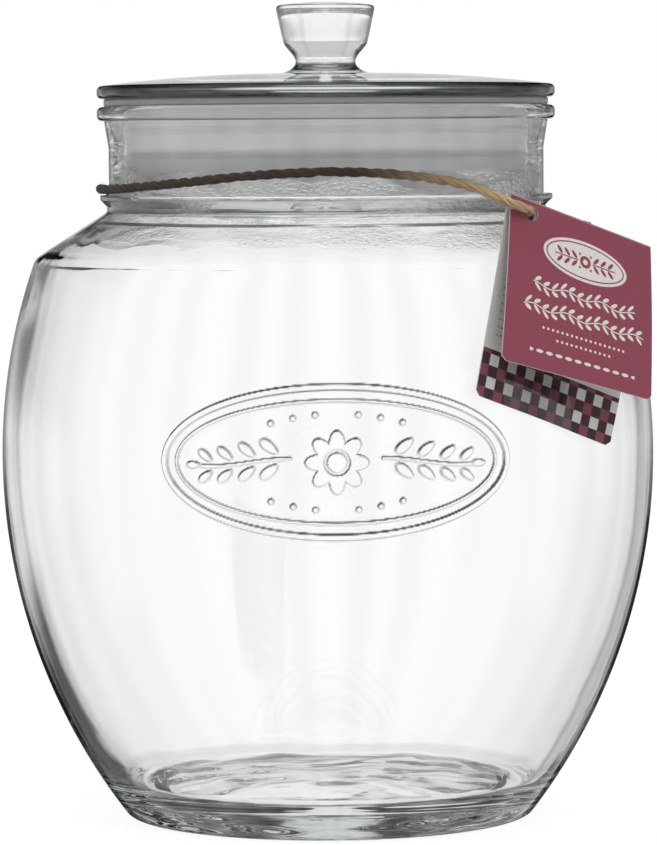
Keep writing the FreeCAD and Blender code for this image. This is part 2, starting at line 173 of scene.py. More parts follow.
def carried_frames(points):
    """A pair of normals at each point of a line, carried along it without twist."""
    frames = []
    tangent = (points[1] - points[0]).normalized()
    side = tangent.orthogonal().normalized()
    for number in range(len(points)):
        ahead, behind = points[min(number + 1, len(points) - 1)], points[max(number - 1, 0)]
        following = (ahead - behind).normalized()
        side = tangent.rotation_difference(following) @ side
        side = (side - following * side.dot(following)).normalized()
        tangent = following
        frames.append((side, tangent.cross(side)))
    return frames


class Tubes:
    """One mesh made of many tubes, with how far along and around each place is as its UV map."""

    def __init__(self):
        self.vertices, self.faces, self.places = [], [], []

    def add(self, points, radii, sides):
        frames = carried_frames(points)
        base = len(self.vertices)
        along = 0.0
        for number, (point, (side, up), radius) in enumerate(zip(points, frames, radii)):
            if number:
                along += (point - points[number - 1]).length
            for corner in range(sides):
                turn = TAU * corner / sides
                self.vertices.append(point + (side * math.cos(turn) + up * math.sin(turn)) * radius)
                self.places.append((along, corner / sides))
        for number in range(len(points) - 1):
            for corner in range(sides):
                one, two = base + number * sides + corner, base + number * sides + (corner + 1) % sides
                self.faces.append((one, two, two + sides, one + sides))
        self.faces.append([base + corner for corner in reversed(range(sides))])
        self.faces.append([base + (len(points) - 1) * sides + corner for corner in range(sides)])

    def make(self, name, material):
        obj = new_mesh_object(name, self.vertices, self.faces, material)
        uv = obj.data.uv_layers.new(name="place")
        for loop in obj.data.loops:
            uv.data[loop.index].uv = self.places[loop.vertex_index]
        return obj


def twist(tubes, points, draw, plies=3, pitch=13 * MM, ply_radius=0.80 * MM, reach=0.64 * MM):
    """Twisted plies along a line, uneven as spun jute is."""
    frames = carried_frames(points)
    along = np.concatenate([[0], np.cumsum([(b - a).length for a, b in zip(points, points[1:])])])
    for ply in range(plies):
        seed = draw.uniform(0, 100)
        line, radii = [], []
        for point, (side, up), place in zip(points, frames, along):
            uneven = noise.noise(Vector((place / (9 * MM), seed, 0)))
            turn = TAU * (place / pitch + ply / plies) + 1.1 * uneven
            line.append(point + (side * math.cos(turn) + up * math.sin(turn)) * reach * (1 + 0.16 * uneven))
            fine = noise.noise(Vector((place / (1.7 * MM), seed, 5)))
            radii.append(ply_radius * (1 + 0.16 * uneven + 0.09 * fine))
        tubes.add(line, radii, 14)


def add_fibres(tubes, points, draw, count, longest=6.5 * MM):
    """Stray fibres that lift off the twine and curl."""
    frames = carried_frames(points)
    for _ in range(count):
        number = draw.randrange(3, len(points) - 3)
        side, up = frames[number]
        tangent = side.cross(up) * draw.choice((-1, 1))
        turn = draw.uniform(0, TAU)
        outward = side * math.cos(turn) + up * math.sin(turn)
        length = draw.uniform(0.25, 1) ** 1.6 * longest
        lift = draw.uniform(0.2, 0.75)
        bend = outward.cross(tangent) * draw.uniform(-0.6, 0.6)
        line = []
        for step in range(8):
            way = step / 7
            rise = math.sin(way * math.pi * draw.uniform(0.55, 0.6)) * lift
            line.append(
                points[number]
                + outward * (0.42 * TWINE + rise * min(length * 0.5, 1.9 * MM))
                + tangent * length * way * 0.8
                + bend * length * way * way * 0.35
            )
        tubes.add(line, [0.045 * MM * (1 - 0.5 * step / 7) for step in range(8)], 4)


def jute_material(name):
    material, s = new_material(name)
    along, around = s.uv("place")
    fibre = s.noise(s.combine(along * 260, around * 16, 0), 1.0, 4)
    coarse = s.noise(s.combine(along * 70, around * 3, 7), 1.0, 2)
    # Painted light and shade: a dark, shaded copy of the jute and a pale, lit copy, mixed by the attribute
    # "light".
    wear_and_painted_light = s.attribute("light")
    dark = s.ramp(fibre * 0.6 + coarse * 0.4, (0.009, 0.006, 0.004), (0.062, 0.041, 0.024), high=0.72)
    pale = s.ramp(fibre * 0.6 + coarse * 0.4, (0.13, 0.08, 0.035), (0.62, 0.45, 0.25))
    s.set("Base Color", s.mix(wear_and_painted_light, dark, pale))
    s.set("Roughness", 0.9)
    s.set("Sheen Weight", 0.1)
    s.bump(fibre, 0.9, 0.35 * MM)
    return material


def set_painted_light(jute, values):
    """Says how much painted light each vertex of the jute has, from 0 to 1."""
    jute.data.attributes.new("light", "FLOAT", "POINT").data.foreach_set("value", values)


def make_twine(line, draw):
    tubes = Tubes()
    points = evenly(line, 0.55 * MM)
    twist(tubes, points, draw)
    add_fibres(tubes, points, draw, 230)
    twine = tubes.make("twine_plies", jute_material("jute"))
    # Painted light: the stretch near the tag is painted paler than the rest, as if lit, and the rest is
    # painted in shade.
    pale_from = max(along for along, _ in tubes.places) - 0.066
    set_painted_light(twine, [share((along - pale_from) / 0.040) for along, _ in tubes.places])
    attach(twine, "root")
    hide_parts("twine")
    return twine


def make_knot(line, draw):
    """An overhand knot that joins the twine's two ends, with two frayed tails."""
    low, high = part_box("knot")
    centre = (low + high) / 2
    first, last = line[-1], line[0]
    axis = (last - first).normalized()
    side = axis.cross(Vector((0, 0, 1))).normalized()
    up = side.cross(axis)
    half = (last - first).length / 2
    loop = []
    for step in range(61):
        turn = TAU * step / 60
        # A trefoil drawn out along the axis.
        x = (math.sin(turn) + 2 * math.sin(2 * turn)) / 3
        y = (math.cos(turn) - 2 * math.cos(2 * turn)) / 3
        z = -math.sin(3 * turn)
        loop.append(centre + axis * x * half * 0.85 + side * y * 2.2 * MM + up * z * 1.35 * MM)
    tubes = Tubes()
    twist(tubes, evenly(loop, 0.5 * MM), draw, pitch=6 * MM)
    for way, tail in ((1, 8.5 * MM), (-1, 7 * MM)):
        line = [
            centre
            + axis * way * (0.5 * MM + 0.55 * tail * t)
            + side * (1.4 * MM * way + 0.2 * tail * t * way)
            - up * (1.0 * MM + 0.75 * tail * t * t)
            for t in np.linspace(0, 1, 16)
        ]
        points = evenly(line, 0.5 * MM)
        twist(tubes, points, draw, pitch=9 * MM, reach=0.6 * MM)
        # The cut end frays.
        side_way, up_way = carried_frames(points)[-1]
        tangent = side_way.cross(up_way)
        for _ in range(16):
            turn, spread = draw.uniform(0, TAU), draw.uniform(0.1, 0.9) * MM
            out = side_way * math.cos(turn) + up_way * math.sin(turn)
            hair = [
                points[-1] + out * (spread * 0.7 + spread * t) + tangent * draw.uniform(1.2, 1.7) * MM * t
                for t in (-0.6, 0, 0.5, 1)
            ]
            tubes.add(hair, [0.09 * MM, 0.09 * MM, 0.08 * MM, 0.05 * MM], 4)
    knot = tubes.make("knot_plies", bpy.data.materials["jute"])
    # Painted light: the knot is given mostly the pale, lit copy of the jute.
    set_painted_light(knot, [0.8] * len(knot.data.vertices))
    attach(knot, "root")
    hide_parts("knot")
    return knot


# -------- shader nodes


def new_material(name):
    """A material and its Shader."""
    material = bpy.data.materials.new(name)
    return material, Shader(material)


class Value:
    """An output of a node that adds, multiplies and compares with + - * / and methods."""

    def __init__(self, shader, socket):
        self.shader, self.socket = shader, socket

    def __add__(self, other):
        return self.shader.math("ADD", self, other)

    def __sub__(self, other):
        return self.shader.math("SUBTRACT", self, other)

    def __mul__(self, other):
        return self.shader.math("MULTIPLY", self, other)

    def __truediv__(self, other):
        return self.shader.math("DIVIDE", self, other)

    __radd__, __rmul__ = __add__, __mul__

    def __rsub__(self, other):
        return self.shader.math("SUBTRACT", other, self)

    def absolute(self):
        return self.shader.math("ABSOLUTE", self)

    def fraction(self):
        return self.shader.math("FRACT", self)

    def least(self, other):
        return self.shader.math("MINIMUM", self, other)

    def most(self, other):
        return self.shader.math("MAXIMUM", self, other)

    def sine(self):
        return self.shader.math("SINE", self)

    def smooth(self, low, high):
        """0 below low, 1 above high, and smooth between; low may be the larger."""
        node = self.shader.node("ShaderNodeMapRange", interpolation_type="SMOOTHSTEP")
        self.shader.link(self, node.inputs["Value"])
        limits = (low, high, 0, 1) if low < high else (high, low, 1, 0)
        for name, limit in zip(("From Min", "From Max", "To Min", "To Max"), limits):
            node.inputs[name].default_value = limit
        return Value(self.shader, node.outputs["Result"])


class Shader:
    """A node tree of a material or of the world."""

    def __init__(self, owner):
        owner.use_nodes = True
        self.tree = owner.node_tree
        self.surface = self.tree.nodes.get("Principled BSDF")

    def node(self, kind, **settings):
        node = self.tree.nodes.new(kind)
        for name, value in settings.items():
            setattr(node, name, value)
        return node

    def link(self, value, socket):
        if isinstance(value, Value):
            self.tree.links.new(value.socket, socket)
        else:
            socket.default_value = value

    def math(self, operation, one, two=None):
        node = self.node("ShaderNodeMath", operation=operation)
        self.link(one, node.inputs[0])
        if two is not None:
            self.link(two, node.inputs[1])
        return Value(self, node.outputs[0])

    def fill(self, node, **inputs):
        """Sets or links inputs of a node, and gives its first output."""
        for name, value in inputs.items():
            self.link(value, node.inputs[name])
        return Value(self, node.outputs[0])

    def set(self, name, value):
        self.link(value if not isinstance(value, tuple) else (*value, 1), self.surface.inputs[name])

    def combine(self, x, y, z):
        node = self.node("ShaderNodeCombineXYZ")
        for value, socket in zip((x, y, z), node.inputs):
            self.link(value, socket)
        return Value(self, node.outputs[0])

    def separate(self, vector):
        node = self.node("ShaderNodeSeparateXYZ")
        self.link(vector, node.inputs[0])
        return [Value(self, output) for output in node.outputs]

    def coordinates(self, kind):
        return Value(self, self.node("ShaderNodeTexCoord").outputs[kind])

    def uv(self, name):
        node = self.node("ShaderNodeUVMap", uv_map=name)
        return self.separate(Value(self, node.outputs[0]))[:2]

    def attribute(self, name):
        return Value(self, self.node("ShaderNodeAttribute", attribute_name=name).outputs["Fac"])

    def ray(self, name):
        return Value(self, self.node("ShaderNodeLightPath").outputs[name])

    def facing(self):
        """0 where the surface is seen square on, and 1 where it is seen edge on."""
        return Value(self, self.node("ShaderNodeLayerWeight").outputs["Facing"])

    def noise(self, vector, scale, detail=2.0, roughness=0.5):
        node = self.node("ShaderNodeTexNoise")
        return self.fill(node, Vector=vector, Scale=scale, Detail=detail, Roughness=roughness)

    def ramp(self, value, one, two, high=0.7):
        """From one colour to another, as value goes from 0.3 to high."""
        node = self.node("ShaderNodeValToRGB")
        for number, (place, colour) in enumerate(((0.3, one), (high, two))):
            element = node.color_ramp.elements[number]
            element.position, element.color = place, (*colour, 1)
        self.link(value, node.inputs[0])
        return Value(self, node.outputs[0])

    def mix(self, share, one, two):
        node = self.node("ShaderNodeMix", data_type="RGBA")
        self.link(share, node.inputs[0])
        for value, socket in ((one, node.inputs[6]), (two, node.inputs[7])):
            self.link(value if isinstance(value, Value) else (*value, 1), socket)
        return Value(self, node.outputs[2])

    def spot(self, x, y, centre, size, turn=0.0, soft=0.10):
        """1 inside an ellipse and 0 outside it; size is its half axes, turned by an angle."""
        x, y = x - centre[0], y - centre[1]
        if turn:
            x, y = x * math.cos(turn) + y * math.sin(turn), y * math.cos(turn) - x * math.sin(turn)
        x, y = x / size[0], y / size[1]
        return (x * x + y * y).smooth(1 + soft, 1 - soft)

    def bump(self, height, strength, distance):
        normal = self.fill(self.node("ShaderNodeBump"), Height=height, Strength=strength, Distance=distance)
        self.link(normal, self.surface.inputs["Normal"])


# -------- the tag

# The card's corners in metres: the ends of its fold, then the feet of its front leaf and of its back leaf.
# The leaves are a little twisted, as a card is that hangs from one corner.
FOLD = Vector((0.0531, -0.0714, 0.1909)), Vector((0.0957, -0.0437, 0.1743))
FRONT_FOOT = Vector((0.0494, -0.0940, 0.1439)), Vector((0.0940, -0.0694, 0.1304))
BACK_FOOT = Vector((0.0425, -0.0906, 0.1338)), Vector((0.0828, -0.0605, 0.1165))
# The card's sizes in mm. The hole's inset is from the leaf's left side, and its drop from the fold.
TAG_WIDTH, FRONT_LEAF, BACK_LEAF = 53.2, 51.7, 61.3
CARD, TAG_CORNER = 0.40, 1.6
TAG_HOLE, HOLE_INSET, HOLE_DROP = 5.0, 7.9, 3.4
# One repeat of the back leaf's check, the height of its band and the drop of the badge's middle.
CHECK, BAND, BADGE_DROP = 6.8, 14.6, 13.2


def card_fibres(s, x, y):
    """Fibres of uncoated card, as a number about 0.5."""
    return s.noise(s.combine(x * 0.9, y * 2.2, 0), 1.0, 5, 0.65)


def card_outside(name):
    """Wine red print with a cream badge, two garlands, dotted lines and a row of dashes."""
    material, s = new_material(name)
    along, down = s.uv("card")
    x, y = along * 1000, down * 1000
    middle = TAG_WIDTH / 2 + 1.5
    paper = card_fibres(s, x, y)
    ink = s.ramp(paper, (0.205, 0.034, 0.060), (0.262, 0.052, 0.086))
    cream = s.ramp(paper, (0.60, 0.56, 0.53), (0.74, 0.70, 0.66))

    centre = middle, BADGE_DROP
    badge = s.spot(x, y, centre, (15.5, 6.6), soft=0.03)
    ring = s.spot(x, y, centre, (14.5, 5.7), soft=0.03) - s.spot(x, y, centre, (14.0, 5.25), soft=0.03)
    # A sprig lies along the badge: a stem, leaves in pairs and a round bud in the middle.
    cell = ((x - middle).absolute() / 2.7).fraction() * 2.7
    within = (x - middle).absolute().smooth(11.4, 10.9)
    off = (y - BADGE_DROP).absolute()
    leaf = s.spot(cell, off, (1.35, 1.45), (1.45, 0.55), math.radians(48), 0.12)
    stem = off.smooth(0.26, 0.14)
    bud = s.spot(x, y, centre, (2.0, 2.0), soft=0.06)
    eye = s.spot(x, y, centre, (0.9, 0.9), soft=0.12)
    sprig = leaf.most(stem) * within * (1 - s.spot(x, y, centre, (2.7, 2.7)))
    light = badge * (1 - ring) * (1 - sprig) * (1 - bud * (1 - eye))

    def garland(place, size, reach):
        """A waving stem with leaves on both sides."""
        wave = (x * (TAU / (4 * size))).sine() * (0.22 * size)
        over = y - place - wave
        bit = ((x - middle) / size).fraction() * size
        leaf_size, lean = (0.46 * size, 0.17 * size), math.radians(40)
        upper = s.spot(bit, over, (0.5 * size, -0.42 * size), leaf_size, -lean)
        lower = s.spot(bit, over, (0.5 * size, 0.42 * size), leaf_size, lean)
        vine = over.absolute().smooth(0.24, 0.12)
        inside = (x - middle).absolute().smooth(reach + 0.2, reach)
        return upper.most(lower).most(vine) * inside

    def dots(place, size, spacing, reach, long=1.0):
        bit = ((x - middle) / spacing).fraction() * spacing
        inside = (x - middle).absolute().smooth(reach + 0.1, reach)
        return s.spot(bit, y, (spacing / 2, place), (size * long, size), soft=0.2) * inside

    for print_ in (
        garland(25.2, 3.1, 18.6),
        garland(32.4, 3.1, 21.7),
        dots(38.4, 0.42, 1.7, 15.3),
        dots(41.4, 0.42, 1.7, 10.2),
        dots(46.0, 0.55, 3.4, 18.7, 2.2),
    ):
        light = light.most(print_)
    # The print wears off along the fold and the sides.
    edge = x.least(TAG_WIDTH - x)
    wear_and_painted_light = (edge.least(y) + card_fibres(s, x * 3, y * 3) * 0.9).smooth(0.62, 0.30) * 0.65
    s.set("Base Color", s.mix(wear_and_painted_light.most(light), ink, cream))
    s.set("Roughness", 0.62)
    s.bump(paper, 0.35, 0.06 * MM)
    return material


def card_inside(name):
    """Pale uncoated card, with a woven check printed along its lower edge."""
    material, s = new_material(name)
    along, down = s.uv("card")
    x, y = along * 1000, down * 1000
    paper = card_fibres(s, x, y)
    card = s.ramp(paper, (0.50, 0.49, 0.48), (0.62, 0.61, 0.60))
    band_top = BACK_LEAF - BAND
    one = ((x - 1.2) / CHECK).fraction()
    two = ((y - band_top + 0.35) / CHECK).fraction()
    across = (one - 0.5).absolute().smooth(0.232, 0.262)
    along_it = (two - 0.5).absolute().smooth(0.232, 0.262)
    both = across * along_it
    either = across.most(along_it)
    thread = s.noise(s.combine(x * 3.2, y * 3.2, 3), 1.0, 3)
    mid = s.ramp(thread, (0.150, 0.040, 0.060), (0.205, 0.060, 0.085))
    dark = s.ramp(thread, (0.030, 0.010, 0.016), (0.055, 0.018, 0.026))
    check = s.mix(both, s.mix(either, card, dark), mid)
    band = y.smooth(band_top - 0.06, band_top + 0.06)
    # Faint rows of dots fill the space over the band.
    faint = s.spot((x / 1.5).fraction(), (y / 2.4).fraction(), (0.5, 0.5), (0.30, 0.13), soft=0.3)
    faint = faint * x.smooth(3.4, 3.8) * y.smooth(10.0, 10.4) * 0.75
    faint = faint * y.smooth(band_top - 3.4, band_top - 3.8)
    s.set("Base Color", s.mix(band, s.mix(faint, card, (0.16, 0.05, 0.07)), check))
    s.set("Roughness", 0.8)
    s.bump(paper, 0.4, 0.06 * MM)
    return material


def card_edge(name):
    material, s = new_material(name)
    grain = s.noise(s.coordinates("Object"), 2600.0, 3)
    s.set("Base Color", s.ramp(grain, (0.44, 0.36, 0.36), (0.66, 0.60, 0.58)))
    s.set("Roughness", 0.9)
    s.bump(grain, 0.4, 0.05 * MM)
    return material


def make_tag():
    """One folded card, slightly bowed, with rounded corners and a hole through both leaves."""
    columns, bend = 56, 0.0004
    outward = (FOLD[1] - FOLD[0]).cross(FOLD[0] - BACK_FOOT[0]).normalized()

    def leaf(across, down, feet, reach, bow):
        """A place on a leaf: how far across from 0 to 1, and how far down from the fold in mm."""
        top = FOLD[0].lerp(FOLD[1], across)
        foot = feet[0].lerp(feet[1], across)
        way = down / reach
        swell = bow * (math.sin(math.pi * way) + 0.7 * math.sin(math.pi * across) * way)
        return top.lerp(foot, way) + outward * swell

    # The rows of the card, from the back leaf's foot over the fold to the front leaf's foot.
    rows = [(-down, 0.0) for down in np.linspace(BACK_LEAF, 0.6, 44)]
    rows += [(0.0, turn) for turn in np.linspace(-80, 80, 7)]
    rows += [(down, 0.0) for down in np.linspace(0.6, FRONT_LEAF, 38)]
    grid, uvs = [], []
    for down, turn in rows:
        reach = BACK_LEAF if down < 0 else FRONT_LEAF
        from_end = reach - abs(down)
        inset = TAG_CORNER - math.sqrt(max(0, TAG_CORNER**2 - max(0, TAG_CORNER - from_end) ** 2))
        line, places = [], []
        for column in range(columns + 1):
            across = (inset + (TAG_WIDTH - 2 * inset) * column / columns) / TAG_WIDTH
            if down < 0:
                point = leaf(across, -down, BACK_FOOT, BACK_LEAF, 0.0003)
            elif down > 0:
                point = leaf(across, down, FRONT_FOOT, FRONT_LEAF, 0.0005) + outward * 2 * bend
            else:
                angle = math.radians(turn)
                point = FOLD[0].lerp(FOLD[1], across) + outward * bend * (1 + math.sin(angle))
                point += Vector((0, 0, 1)) * bend * math.cos(angle)
            line.append(point)
            places.append((across * TAG_WIDTH * MM, abs(down) * MM))
        grid.append(line)
        uvs.append(places)
    count, width = len(grid), columns + 1
    vertices = [[], []]
    for row in range(count):
        for column in range(width):
            before, after = grid[max(row - 1, 0)][column], grid[min(row + 1, count - 1)][column]
            left, right = grid[row][max(column - 1, 0)], grid[row][min(column + 1, columns)]
            normal = (right - left).cross(after - before).normalized()
            for side, way in ((0, -1), (1, 1)):
                vertices[side].append(grid[row][column] + normal * way * CARD / 2 * MM)
    vertices = vertices[0] + vertices[1]
    uvs = [place for line in uvs for place in line] * 2
    half = count * width
    faces, kinds = [], []
    for row in range(count - 1):
        for column in range(columns):
            one = row * width + column
            faces.append((one, one + 1, one + 1 + width, one + width))
            kinds.append(0)
            faces.append(tuple(half + v for v in (one, one + width, one + 1 + width, one + 1)))
            kinds.append(1)
    rim = [row * width for row in range(count)]
    rim += [(count - 1) * width + column for column in range(1, width)]
    rim += [row * width + columns for row in range(count - 2, -1, -1)]
    rim += list(range(columns - 1, 0, -1))
    for one, two in zip(rim, rim[1:] + rim[:1]):
        faces.append((one, two, half + two, half + one))
        kinds.append(2)
    tag = new_mesh_object("tag_card", vertices, faces)
    mesh = tag.data
    for material in (card_outside("card"), card_inside("card_inside"), card_edge("card_edge")):
        mesh.materials.append(material)
    uv = mesh.uv_layers.new(name="card")
    for loop in mesh.loops:
        uv.data[loop.index].uv = uvs[loop.vertex_index]
    mesh.polygons.foreach_set("material_index", kinds)

    # The hole is punched square to the back leaf.
    along = (FOLD[1] - FOLD[0]).normalized()
    up = outward.cross(along)
    centre = FOLD[0] + along * HOLE_INSET * MM - up * HOLE_DROP * MM
    count, radius = 40, TAG_HOLE / 2 * MM
    turns = [TAU * n / count for n in range(count)]
    ring = [(along * math.cos(turn) + up * math.sin(turn)) * radius for turn in turns]
    near = [centre + r - outward * 3 * MM for r in ring]
    far = [centre + r + outward * 6 * MM for r in ring]
    sides = [(n, (n + 1) % count, count + (n + 1) % count, count + n) for n in range(count)]
    caps = [range(count - 1, -1, -1), range(count, 2 * count)]
    punch = new_mesh_object("punch", near + far, sides + caps)
    punch.data.materials.append(bpy.data.materials["card_edge"])
    for piece in (tag, punch):
        work = bmesh.new()
        work.from_mesh(piece.data)
        bmesh.ops.recalc_face_normals(work, faces=work.faces)
        work.to_mesh(piece.data)
        work.free()
    cut = tag.modifiers.new("hole", "BOOLEAN")
    cut.object, cut.operation, cut.solver, cut.material_mode = punch, "DIFFERENCE", "EXACT", "TRANSFER"
    depsgraph = bpy.context.evaluated_depsgraph_get()
    holed = bpy.data.meshes.new_from_object(tag.evaluated_get(depsgraph))
    tag.modifiers.clear()
    tag.data = holed
    bpy.data.objects.remove(punch)
    holed.shade_smooth()
    kinds_beside = {}
    for polygon in holed.polygons:
        for key in polygon.edge_keys:
            kinds_beside.setdefault(frozenset(key), set()).add(polygon.material_index)
    mark_sharp(holed, [len(kinds_beside[frozenset(edge.vertices)]) > 1 for edge in holed.edges])
    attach(tag, "root")
    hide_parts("tag")
    return tag


# -------- turned pieces

# A turn of an outline that is larger than this is a corner.
SHARP = math.radians(15)


def meridian(node):
    """The outline of a turned CAD node, as (distance from the axis, height), read from its mesh where it
    crosses the XZ plane at +X. An outline that meets the axis is open and starts at its lower end."""
    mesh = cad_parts[node].data
    spots = {}
    for vertex in mesh.vertices:
        x, y, z = vertex.co
        if abs(y) < 1e-7 and x > -1e-7:
            spots[vertex.index] = (round(x, 7), round(z, 7))
    beside = {}
    for edge in mesh.edges:
        one, two = (spots.get(number) for number in edge.vertices)
        if one and two and one != two:
            beside.setdefault(one, set()).add(two)
            beside.setdefault(two, set()).add(one)
    ends = [spot for spot in beside if len(beside[spot]) == 1]
    start = min(ends or beside, key=lambda spot: (spot[1], spot[0]))
    outline, seen = [start], {start}
    while True:
        following = [spot for spot in beside[outline[-1]] if spot not in seen]
        if not following:
            break
        outline.append(min(following, key=lambda spot: -spot[0]))
        seen.add(outline[-1])
    # The axis itself isn't always in the mesh's crossing.
    if ends and outline[-1][0] > 1e-6:
        outline.append((0.0, outline[-1][1]))
    if ends and outline[0][0] > 1e-6:
        outline.insert(0, (0.0, outline[0][1]))
    return np.array(outline), not ends


def refined(outline, closed, step, least=0.14 * MM):
    """An outline with its long arcs divided, its crowded points thinned, and which points are corners."""
    count = len(outline)
    chords = np.roll(outline, -1, axis=0) - outline
    lengths = np.maximum(np.linalg.norm(chords, axis=1), 1e-9)
    angles = np.arctan2(chords[:, 1], chords[:, 0])
    turns = (angles - np.roll(angles, 1) + math.pi) % TAU - math.pi
    if not closed:
        turns[0] = turns[-1] = 0
    points, corners = [], []
    for number in range(count if closed else count - 1):
        here, chord, length = outline[number], chords[number], lengths[number]
        bends = []
        following = (number + 1) % count
        for vertex, neighbour in ((number, number - 1), (following, following)):
            alike = lengths[neighbour] > 0.6 * length
            inner = closed or 0 < vertex < count - 1
            if inner and alike and abs(turns[vertex]) < SHARP:
                bends.append(2 * turns[vertex] / (length + lengths[neighbour]))
        bend = min(bends, key=abs) if bends else 0.0
        corner = abs(turns[number]) > SHARP
        if points and not corner and np.linalg.norm(here - points[-1]) < least:
            continue
        points.append(here)
        corners.append(corner)
        right = np.array([chord[1], -chord[0]]) / length
        pieces = math.ceil(length / step)
        for piece in range(1, pieces):
            way = piece / pieces * length
            points.append(here + chord * way / length + right * bend / 2 * way * (length - way))
            corners.append(False)
    if not closed:
        points.append(outline[-1])
        corners.append(False)
    return np.array(points), corners


def lathe(name, outline, corners, closed, columns, material, uneven=None):
    """A full turn of an outline. uneven(azimuth, number) gives how far the outline's point of that number
    moves away from the axis and up."""
    vertices, rings = [], []
    for number, (radius, height) in enumerate(outline):
        if radius < 1e-6:
            rings.append([len(vertices)] * columns)
            vertices.append((0, 0, height))
            continue
        rings.append(list(range(len(vertices), len(vertices) + columns)))
        for column in range(columns):
            turn = TAU * column / columns
            out, up = uneven(turn, number) if uneven else (0, 0)
            reach = radius + out
            vertices.append((reach * math.sin(turn), -reach * math.cos(turn), height + up))
    faces, sharp = [], set()
    for number in range(len(rings) if closed else len(rings) - 1):
        lower, upper = rings[number], rings[(number + 1) % len(rings)]
        for column in range(columns):
            following = (column + 1) % columns
            corner = [lower[column], lower[following], upper[following], upper[column]]
            faces.append(list(dict.fromkeys(corner)))
        if corners[number]:
            sharp |= {frozenset((lower[c], lower[(c + 1) % columns])) for c in range(columns)}
    obj = new_mesh_object(name, vertices, faces, material)
    mark_sharp(obj.data, [frozenset(edge.vertices) in sharp for edge in obj.data.edges])
    return obj


def glass_material(name, ripple, speckle=0.0):
    """Clear soda-lime glass that darkens over a long way through it. ripple is the depth of its bump, and
    speckle how much stronger the mould's grain is on the shoulder and on the foot of the neck."""
    material, s = new_material(name)
    s.set("Base Color", (1.0, 1.0, 1.0))
    s.set("Roughness", 0.0)
    s.set("IOR", 1.5)
    s.set("Transmission Weight", 1.0)
    x, y, z = s.separate(s.coordinates("Object"))
    fine = s.noise(s.combine(x * 90, y * 90, z * 260), 1.0, 2)
    grain = s.noise(s.combine(x * 650, y * 650, z * 1500), 1.0, 3, 0.6)
    patches = s.noise(s.combine(x * 40, y * 40, z * 160), 1.0, 1).smooth(0.42, 0.62)
    speckled = z.smooth(0.1715, 0.1740) * z.smooth(0.2000, 0.1960) * patches
    s.bump(fine * 0.3 + grain * speckled * speckle, 0.6, ripple)
    absorb = s.node("ShaderNodeVolumeAbsorption")
    absorb.inputs["Color"].default_value = (0.80, 0.84, 0.83, 1)
    absorb.inputs["Density"].default_value = 12.0
    s.tree.links.new(absorb.outputs[0], s.tree.nodes["Material Output"].inputs["Volume"])
    return material


def relief(across, up):
    """The height in mm of the moulded emblem, a double oval round a rosette between two sprigs."""

    def raised(inside, slope, height):
        way = np.clip(inside / slope, 0, 1)
        return height * way * way * (3 - 2 * way)

    def from_oval(width, height):
        reach = np.hypot(across / width, up / height) + 1e-9
        slope = np.hypot(across / width**2, up / height**2) + 1e-9
        return (reach - 1) * reach / slope

    def leaf(x, y, long, wide, turn):
        one = (across - x) * math.cos(turn) + (up - y) * math.sin(turn)
        two = (up - y) * math.cos(turn) - (across - x) * math.sin(turn)
        return (1 - np.hypot(one / long, two / (wide * (1 - 0.25 * one / long)))) * wide

    height = raised(1.3 - np.abs(from_oval(51.5, 21.6)), 0.8, 0.85)
    height = np.maximum(height, raised(0.8 - np.abs(from_oval(47.6, 17.7)), 0.7, 0.6))
    distance, turn = np.hypot(across, up), np.arctan2(up, across)
    petals = 9.6 * (0.66 + 0.34 * np.abs(np.cos(4 * turn))) - distance
    height = np.maximum(height, raised(petals, 0.9, 0.8))
    height -= raised(0.8 - np.abs(distance - 3.3), 0.7, 0.6)
    for side in (-1, 1):
        stem = np.abs(up - 1.2 * np.sin(side * across / 8)) + 10 * np.clip(13 - side * across, 0, 1)
        stem += 10 * np.clip(side * across - 40, 0, 1)
        height = np.maximum(height, raised(0.8 - stem, 0.65, 0.6))
        for place in (17.5, 24.0, 30.5, 36.5):
            base = 1.2 * math.sin(place / 8)
            size = 1.12 - place / 120
            for way in (-1, 1):
                lean = way * side * math.radians(38)
                inside = leaf(side * (place + 2), base + way * 3.7 * size, 4.1 * size, 1.9 * size, lean)
                height = np.maximum(height, raised(inside, 0.85, 0.8))
        height = np.maximum(height, raised(leaf(side * 42.2, -0.9, 2.9, 1.4, 0), 0.8, 0.75))
        for number in range(3):
            x, y = side * (6.2 + 6.4 * number), 13.6 - 0.7 * number - 0.25 * number**2
            for way in (-1, 1):
                dot = 1.25 - np.hypot(across - x, up - way * y)
                height = np.maximum(height, raised(dot, 0.8, 0.7))
    return height


# The emblem's middle, as a height in mm and an azimuth, and the half axes of the oval that is divided for it.
EMBLEM_HEIGHT, EMBLEM_AZIMUTH = 115.0, math.radians(1.5)
EMBLEM_HALF_WIDTH, EMBLEM_HALF_HEIGHT = math.radians(33), 25.5


